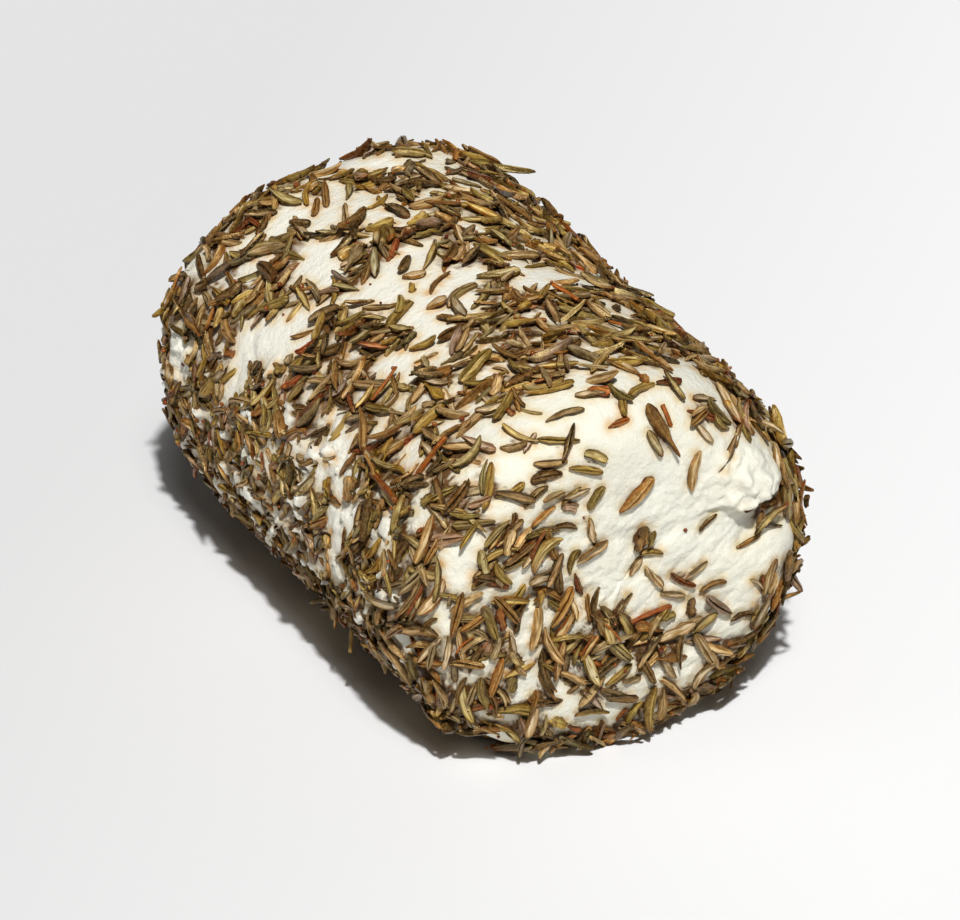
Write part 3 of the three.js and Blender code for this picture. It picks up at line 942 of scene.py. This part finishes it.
def curves(kind, count, along):
    """Sideways and upward bow of every thing along its length, and its twist."""
    leaf = kind in PAINTED_SHADES
    bow = (2 * along) ** 2 - 0.3
    sideways = CURVED_BOW if kind == "curved" else SIDE_BOW * (kind != "bead")
    upward = UP_BOW * leaf
    side = rng.normal(0, sideways, (count, 1))
    if kind == "curved":
        side = np.sign(side) * (SIDE_BOW + np.abs(side))
    lift = np.abs(rng.normal(0, upward, (count, 1)))
    hook = rng.normal(0, 0.6 * upward, (count, 1)) * (2 * along) ** 3
    twist = rng.normal(0, LEAF_TWIST, (count, 1)) * along * leaf
    return side * bow, lift * (2 * along) ** 2 + np.maximum(hook, 0), twist


def spindle_points(kind, length, width, height):
    """Points of closed spindles lying along X with their tops up: rings, then base and tip."""
    count = len(length)
    ring = np.array(RINGS[kind], float)
    flat = (ring[:, 1] - ring[:, 1].min()) / np.ptp(ring[:, 1])
    along = np.broadcast_to(STATIONS - 0.5, (count, len(STATIONS)))
    widths = outlines(kind, count)
    heights = LEAF_HEIGHTS if kind in PAINTED_SHADES else widths
    side, rise, twist = curves(kind, count, along)
    middle = 0.4 * height
    y = ring[:, 0] * (width / 2 * widths)[..., None]
    z = (flat * height[..., None] - middle[..., None]) * np.broadcast_to(heights, widths.shape)[..., None]
    crinkle = CRINKLE.get(kind, LEAF_CRINKLE)
    lean = rng.normal(0, 0.15 * (kind in PAINTED_SHADES), (count, 1, 1))
    z = z * rng.normal(1, crinkle, z.shape) + lean * y
    y = y * rng.normal(1, crinkle, y.shape)
    c, k = np.cos(twist)[..., None], np.sin(twist)[..., None]
    y, z = y * c - z * k, y * k + z * c
    x = np.broadcast_to((along * length)[..., None], y.shape)
    rings = np.stack([x, y + (side * length)[..., None], z + (rise * length + middle)[..., None]], -1)
    ends = np.zeros((count, 2, 3))
    ends[:, :, 0] = length * np.array([-0.5, 0.5])
    ends[:, :, 1] = (side * length)[:, [0, -1]]
    ends[:, :, 2] = (rise * length + middle)[:, [0, -1]]
    return np.concatenate([rings.reshape(count, -1, 3), ends], 1)


def spindle_faces(count):
    stations = len(STATIONS)
    ids = np.arange(stations * RING_POINTS).reshape(stations, RING_POINTS)
    after = np.roll(ids, -1, axis=1)
    quads = np.stack([ids[:-1], after[:-1], after[1:], ids[1:]], -1).reshape(-1, 4)
    base = np.full(RING_POINTS, ids.size)
    fans = np.concatenate([
        np.stack([base, after[0], ids[0]], -1),
        np.stack([base + 1, ids[-1], after[-1]], -1),
    ])
    offset = (np.arange(count) * (ids.size + 2))[:, None, None]
    return [(quads + offset).reshape(-1, 4), (fans + offset).reshape(-1, 3)]


def small_things(name, kind, items, material):
    """One joined mesh of all things of a kind, each a closed spindle."""
    centres = np.array([i[0] for i in items])
    axes = np.array([i[1] for i in items])
    length, width, height = np.array([i[2] for i in items]).T[:, :, None]
    colours = np.array([linear(PALETTE[i[3]]) for i in items])
    local = spindle_points(kind, length, width, height)
    world = np.einsum("nvi,nij->nvj", local, axes) + centres[:, None]
    above = world[:, :, 2].min(1) > FLOOR_GAP
    world = world[above]
    made = new_object(name, world.reshape(-1, 3), spindle_faces(len(world)), material)
    if kind in PAINTED_SHADES:
        made.data.set_sharp_from_angle(angle=math.radians(RIM_ANGLE))
    add_colours(made, "tint", thing_colours(kind, colours[above], world))
    add_uvs(made, "OFBake", map_uvs(len(world)))
    add_uvs(made, "grain", grain_uvs(len(world)))
    return made


def thing_colours(kind, colours, world):
    """Colour of every point: each thing its own, with blotches and, on leaves, painted light and shade.
    """
    count, per, _ = world.shape
    bright = np.exp(rng.normal(0, BRIGHT_SPREAD, (count, 1, 1)).clip(*BRIGHT_LIMITS))
    warm = rng.normal(0, WARM_SPREAD, (count, 1, 1)) * WARMTH
    blotch = 1 + BLOTCH * noise(world.reshape(-1, 3), *BLOTCH_NOISE).reshape(count, per, 1)
    points = np.clip(colours[:, None, :] * bright * (1 + warm) * blotch, 0.004, 0.9)
    if kind in PAINTED_SHADES:
        points = leaf_painted_shading(kind, points)
    return np.clip(points, 0.002, 1).reshape(-1, 3)


def leaf_painted_shading(kind, points):
    """Leaf colours with painted shade at rolled margins, undersides and slits, painted highlight on
    ridges and troughs, darker at the tip, and browner at the stalk.
    """
    count, per, _ = points.shape
    along = np.append(np.repeat(STATIONS, RING_POINTS), [0.0, 1.0])
    bottom, *sides, top = PAINTED_SHADES[kind]
    shade = np.full(per, END_PAINTED_SHADE)
    shade[:-2] = np.tile([bottom, *sides, top, *reversed(sides)], len(STATIONS))
    shade *= 1 - TIP_DARKER * smoothstep(TIP_START, 1.0, along)
    # Painted shade makes colours darker and richer, painted highlight makes them lighter and paler
    points = points ** (1 - PAINTED_SHADE_DEPTH * np.log(shade))[None, :, None]
    stub = linear(PALETTE["orange"]) * rng.uniform(*STALK_LIGHT, (count, 1, 1))
    stalk = smoothstep(STALK_END, 0.0, along)[None, :, None]
    amount = stalk * rng.uniform(*STALK_AMOUNT, (count, 1, 1)).clip(0)
    return points * (1 - amount) + stub * amount


def thing_corners():
    """Place along and around one thing of every corner of its four-sided and three-sided faces."""
    stations = len(STATIONS)
    u = np.concatenate([STATIONS, [0.0, 1.0]])
    v = np.arange(RING_POINTS + 1) / RING_POINTS

    def strip(*corners):
        return np.stack([np.stack([np.full(RING_POINTS, x), y], -1) for x, y in corners], 1)

    near, far, middle = v[:-1], v[1:], (v[:-1] + v[1:]) / 2
    pairs = zip(u[:stations - 1], u[1:stations])
    quads = np.concatenate([strip((a, near), (a, far), (b, far), (b, near)) for a, b in pairs])
    base = strip((u[-2], middle), (u[0], far), (u[0], near))
    tip = strip((u[-1], middle), (u[stations - 1], near), (u[stations - 1], far))
    return quads.reshape(-1, 2), np.concatenate([base, tip]).reshape(-1, 2)


def map_uvs(count):
    """A cell of the map for each thing, laid in rows."""
    columns = max(1, round(math.sqrt(count / 2.5)))
    rows = math.ceil(count / columns)
    cell = np.stack([np.arange(count) % columns, np.arange(count) // columns], -1)[:, None]
    scale = np.array([1 / columns, 1 / rows])
    parts = [(cell + MAP_MARGIN + (1 - 2 * MAP_MARGIN) * part) * scale for part in thing_corners()]
    return np.concatenate([part.reshape(-1, 2) for part in parts])


def grain_uvs(count):
    """Places along and around each thing for its lengthwise wrinkles, apart from those of the others."""
    apart = np.arange(count)[:, None, None] * GRAIN_APART
    return np.concatenate([(part * GRAIN_BANDS + apart).reshape(-1, 2) for part in thing_corners()])


# Materials

# Cheese colours: its paste and clouds in it, damp with painted warm shade and juice near leaves, herb
# dust with painted shade between leaves, dark and light
PASTE = (238, 236, 223)
CLOUDS = (235, 230, 214)
DAMP_AND_SHADE = (228, 208, 162)
JUICE = (212, 148, 48)
DUST_AND_SHADE_DARK = (62, 36, 10)
DUST_AND_SHADE_LIGHT = (122, 82, 34)
# Painted shade on the bare end: places along X where it starts and is full, and its greyer tone
PAINTED_END_SHADE_FROM = 23.0
PAINTED_END_SHADE_FULL = 32.0
PAINTED_END_SHADE_TONE = (238, 239, 237)
# Tones that darken leaves in streaks and mottles, dust on them, and the tint of their sheen
STREAK_TONE = (170, 148, 112)
MOTTLE_TONE = (166, 144, 106)
LEAF_DUST = (204, 178, 120)
SHEEN_TINT = (255, 226, 160)
RESIN_DARK = (84, 30, 10)
RESIN_LIGHT = (146, 78, 22)
# Noise by scale, detail and roughness; the scale counts from a metre, or from the map for streaks
CLOUD_NOISE = (140, 4, 0.6)
SPOT_NOISE = (420, 3, 0.5)
GRAIN_NOISE = (1500, 6, 0.65)
RIB_NOISE = (1, 3, 0.5)
STREAK_NOISE = (1, 3, 0.5)
MOTTLE_NOISE = (900, 5, 0.65)
DUST_NOISE = (2600, 3, 0.6)
RESIN_NOISE = (700, 2, 0.5)
FLOOR_NOISE = (3, 2, 0.5)
# Fine ribs around the side of the cheese: fast along the log, slow around it
RIB_STRETCH = (1300, 170, 170)
# Bumps by height in metres and strength
GRAIN_BUMP = (0.0003, 0.8)
RIB_BUMP = (0.0002, 0.5)
STREAK_BUMP = (0.0001, 0.7)
LEAF_BUMP = (0.00008, 0.6)
STEM_BUMP = (0.00008, 0.8)
LEAF_ROUGHNESS = (0.2, 0.42)
STEM_ROUGHNESS = (0.45, 0.65)
# The values that most of a noise lies between
NOISE_MIDDLE = (0.3, 0.7)


def rgba(rgb):
    return (*linear(rgb), 1.0)


class Look:
    """A material in the making."""

    def __init__(self, name):
        self.material = bpy.data.materials.new(name)
        self.material.use_nodes = True
        self.tree = self.material.node_tree
        self.shader = self.tree.nodes["Principled BSDF"].inputs

    def feed(self, inputs, values):
        """Links inputs to the outputs given for them, or sets them to the values given."""
        for name, value in values.items():
            if isinstance(value, bpy.types.NodeSocket):
                self.tree.links.new(value, inputs[name])
            else:
                inputs[name].default_value = value

    def node(self, kind, values=None, **settings):
        """Outputs of a new node."""
        made = self.tree.nodes.new("ShaderNode" + kind)
        for name, setting in settings.items():
            setattr(made, name, setting)
        self.feed(made.inputs, values or {})
        return made.outputs

    def place(self):
        return self.node("TexCoord")["Object"]

    def noise(self, size, where=None, **settings):
        scale, detail, rough = size
        where = where or self.place()
        values = {"Vector": where, "Scale": scale, "Detail": detail, "Roughness": rough}
        return self.node("TexNoise", values, **settings)["Fac"]

    def spread(self, value, low=0, high=1, between=NOISE_MIDDLE):
        """A value between two others as one from low to high."""
        start, end = between
        values = {"Value": value, "From Min": start, "From Max": end, "To Min": low, "To Max": high}
        return self.node("MapRange", values)["Result"]

    def mix(self, share, a, b, blend="MIX"):
        """Mix of two colours, each an output or a screen colour."""
        a, b = (v if isinstance(v, bpy.types.NodeSocket) else rgba(v) for v in (a, b))
        return self.node("Mix", {0: share, 6: a, 7: b}, data_type="RGBA", blend_type=blend)[2]

    def times(self, a, b):
        return self.node("Math", {0: a, 1: b}, operation="MULTIPLY", use_clamp=True)["Value"]

    def bump(self, height, size, **below):
        """Bumps on the shader, over those whose Normal is given."""
        distance, strength = size
        values = {"Height": height, "Distance": distance, "Strength": strength, **below}
        normal = self.node("Bump", values)["Normal"]
        self.feed(self.shader, {"Normal": normal})
        return normal


def cheese_material():
    look = Look("goat_cheese")
    stain_and_shade = look.node("VertexColor", layer_name="stain_and_shade")["Color"]
    stain_and_shade = look.node("SeparateColor", {"Color": stain_and_shade})
    cloud = look.noise(CLOUD_NOISE)
    spot = look.noise(SPOT_NOISE)
    grain = look.noise(GRAIN_NOISE)
    cream = look.mix(look.spread(cloud), PASTE, CLOUDS)
    # Damp near leaves, partly painted warm shade around them
    damp_and_shade = look.mix(stain_and_shade["Red"], cream, DAMP_AND_SHADE)
    juicy = look.mix(look.times(look.spread(spot, 0, 1.2), stain_and_shade["Green"]), damp_and_shade, JUICE)
    # Herb dust and painted shade in the gaps where leaves lie thick
    herb_dust_and_shade_tone = look.mix(look.spread(grain), DUST_AND_SHADE_DARK, DUST_AND_SHADE_LIGHT)
    dusty_and_shaded = look.mix(look.times(look.spread(spot, 1.7, 0.3), stain_and_shade["Blue"]), juicy, herb_dust_and_shade_tone)
    along = look.node("SeparateXYZ", {"Vector": look.place()})["X"]
    # Painted shade that dims the bare end
    painted_end_shade = look.spread(along, between=(PAINTED_END_SHADE_FROM * MM, PAINTED_END_SHADE_FULL * MM))
    fine = look.bump(grain, GRAIN_BUMP)
    ribs = look.node("VectorMath", {0: look.place(), 1: RIB_STRETCH}, operation="MULTIPLY")["Vector"]
    look.bump(look.noise(RIB_NOISE, ribs), RIB_BUMP, Normal=fine)
    look.feed(look.shader, {
        "Base Color": look.mix(painted_end_shade, dusty_and_shaded, PAINTED_END_SHADE_TONE, "MULTIPLY"),
        "Roughness": look.spread(cloud, 0.42, 0.62),
        "Subsurface Weight": 0.2,
        "Subsurface Radius": (1.0, 0.9, 0.7),
        "Subsurface Scale": 0.0008,
        "IOR": 1.42,
    })
    return look.material


def herb_material(name, roughness, bump):
    look = Look(name)
    tint = look.node("VertexColor", layer_name="tint")["Color"]
    wrinkles = look.node("UVMap", uv_map="grain")["UV"]
    streaks = look.noise(STREAK_NOISE, wrinkles, noise_dimensions="2D")
    mottle = look.noise(MOTTLE_NOISE)
    dust = look.noise(DUST_NOISE)
    lined = look.mix(look.spread(streaks, 1.2, -0.3), tint, STREAK_TONE, "MULTIPLY")
    dark = look.mix(look.spread(mottle, 0, 0.4), lined, MOTTLE_TONE, "MULTIPLY")
    look.bump(dust, bump, Normal=look.bump(streaks, STREAK_BUMP))
    look.feed(look.shader, {
        "Base Color": look.mix(look.spread(dust, -0.08, 0.16), dark, LEAF_DUST),
        "Roughness": look.spread(mottle, *roughness),
        "Specular IOR Level": 0.45,
        "Specular Tint": rgba(SHEEN_TINT),
    })
    return look.material


def bead_material():
    look = Look("resin_bead")
    cloud = look.noise(RESIN_NOISE)
    look.feed(look.shader, {
        "Base Color": look.mix(look.spread(cloud), RESIN_DARK, RESIN_LIGHT),
        "Roughness": look.spread(cloud, 0.06, 0.2),
    })
    return look.material


# Stage

PHOTO_WIDTH = 960
PHOTO_HEIGHT = 920
SENSOR = 36.0
CAMERA_AZIMUTH = math.radians(63.2)
CAMERA_ELEVATION = math.radians(29.19)
CAMERA_DISTANCE = 978.8
PIXELS_PER_MM = 8.461
AIMED_AT = (0.0, 0.0, 24.3)
AIMED_PIXEL = (476.8, 433.8)
SUN_AZIMUTH = math.radians(68)
SUN_ELEVATION = math.radians(52.5)
SUN_ENERGY = 3.6
SUN_ANGLE = math.radians(2.4)
# Bright sky around the sun, which lightens the outer part of the shadow
GLOW_ENERGY = 0.7
GLOW_ANGLE = math.radians(15)
SKY_STRENGTH = 0.05
# Painted light on the floor: it gets lighter over this distance across the view, and a share of it
# towards the camera:
# its tones at the left and right, and one that evens them out
FLOOR_FADE = 125.0
FLOOR_NEAR_SHARE = 0.25
FLOOR_LEFT = (217, 217, 217)
FLOOR_RIGHT = (239, 239, 239)
FLOOR_EVEN = (226, 226, 226)
FLOOR_REACH = 2000.0


def towards(azimuth, elevation):
    flat = math.cos(elevation)
    return Vector((math.sin(azimuth) * flat, -math.cos(azimuth) * flat, math.sin(elevation)))


def picture_right():
    return Vector((math.cos(CAMERA_AZIMUTH), math.sin(CAMERA_AZIMUTH), 0))


def add_camera():
    back = towards(CAMERA_AZIMUTH, CAMERA_ELEVATION)
    right = picture_right()
    up = back.cross(right)
    right_mm = (PHOTO_WIDTH / 2 - AIMED_PIXEL[0]) / PIXELS_PER_MM
    up_mm = (AIMED_PIXEL[1] - PHOTO_HEIGHT / 2) / PIXELS_PER_MM
    aim = Vector(AIMED_AT) + right * right_mm + up * up_mm
    data = bpy.data.cameras.new("camera")
    data.sensor_width = SENSOR
    data.lens = PIXELS_PER_MM * CAMERA_DISTANCE * SENSOR / PHOTO_WIDTH
    data.clip_start = 0.01
    camera = bpy.data.objects.new("camera", data)
    turn = Matrix((right, up, back)).transposed().to_4x4()
    camera.matrix_world = Matrix.Translation((aim + back * CAMERA_DISTANCE) * MM) @ turn
    bpy.context.scene.collection.objects.link(camera)
    bpy.context.scene.camera = camera


def add_sun(name, energy, angle):
    data = bpy.data.lights.new(name, "SUN")
    data.energy = energy
    data.angle = angle
    sun = bpy.data.objects.new(name, data)
    sun.rotation_euler = towards(SUN_AZIMUTH, SUN_ELEVATION).to_track_quat("Z", "Y").to_euler()
    bpy.context.scene.collection.objects.link(sun)


def add_lights():
    add_sun("key", SUN_ENERGY, SUN_ANGLE)
    add_sun("glow", GLOW_ENERGY, GLOW_ANGLE)
    world = bpy.data.worlds.new("studio")
    world.use_nodes = True
    background = world.node_tree.nodes["Background"]
    background.inputs["Color"].default_value = (1, 1, 1, 1)
    background.inputs["Strength"].default_value = SKY_STRENGTH
    bpy.context.scene.world = world
    bpy.context.scene.view_settings.view_transform = "Standard"


def add_floor():
    """A plain pale floor with painted light that makes it lighter to the lower right of the view."""
    look = Look("pale_floor")
    lighter = picture_right() + towards(CAMERA_AZIMUTH, 0) * FLOOR_NEAR_SHARE
    values = {0: look.place(), 1: lighter / (FLOOR_FADE * MM)}
    across = look.node("VectorMath", values, operation="DOT_PRODUCT")["Value"]
    # Painted light: the floor's tone rises towards the lower right of the view
    pale = look.mix(look.spread(across, between=(-0.5, 0.5)), FLOOR_LEFT, FLOOR_RIGHT)
    faint = look.spread(look.noise(FLOOR_NOISE), 0, 0.1)
    look.feed(look.shader, {"Base Color": look.mix(faint, pale, FLOOR_EVEN), "Roughness": 0.8})
    corners = FLOOR_REACH * np.array([[-1, -1, 0], [1, -1, 0], [1, 1, 0], [-1, 1, 0]])
    new_object("floor", corners, [np.array([[0, 1, 2, 3]])], look.material)


# Building

def build():
    heights = cheese_heights()
    coat = Coat(heights)
    lay_face_leaves(coat)
    lay_leaves(coat, LEAF_TRIES, coat_cover, COAT_LIMIT)
    lay_leaves(coat, THICK_TRIES, thick_cover, THICK_LIMIT)
    lay_side_leaves(coat)
    lay_stray_leaves(coat)
    lay_small(coat, "stem", STEM_COUNT, STEM_LENGTHS, STEM_SLENDER)
    lay_small(coat, "bead", BEAD_COUNT, BEAD_SIZES, BEAD_ROUNDNESS)
    leaf_look = herb_material("thyme_leaf", LEAF_ROUGHNESS, LEAF_BUMP)
    stem_look = herb_material("thyme_stem", STEM_ROUGHNESS, STEM_BUMP)
    looks = {"stem": stem_look, "bead": bead_material()}
    cheese = cheese_mesh(heights, coat, cheese_material())
    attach(cheese, BODY)
    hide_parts(NODE)
    for kind, items in coat.items.items():
        piece = small_things("thyme_" + kind, kind, items, looks.get(kind, leaf_look))
        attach(piece, BODY)


build()
add_floor()
add_lights()
add_camera()
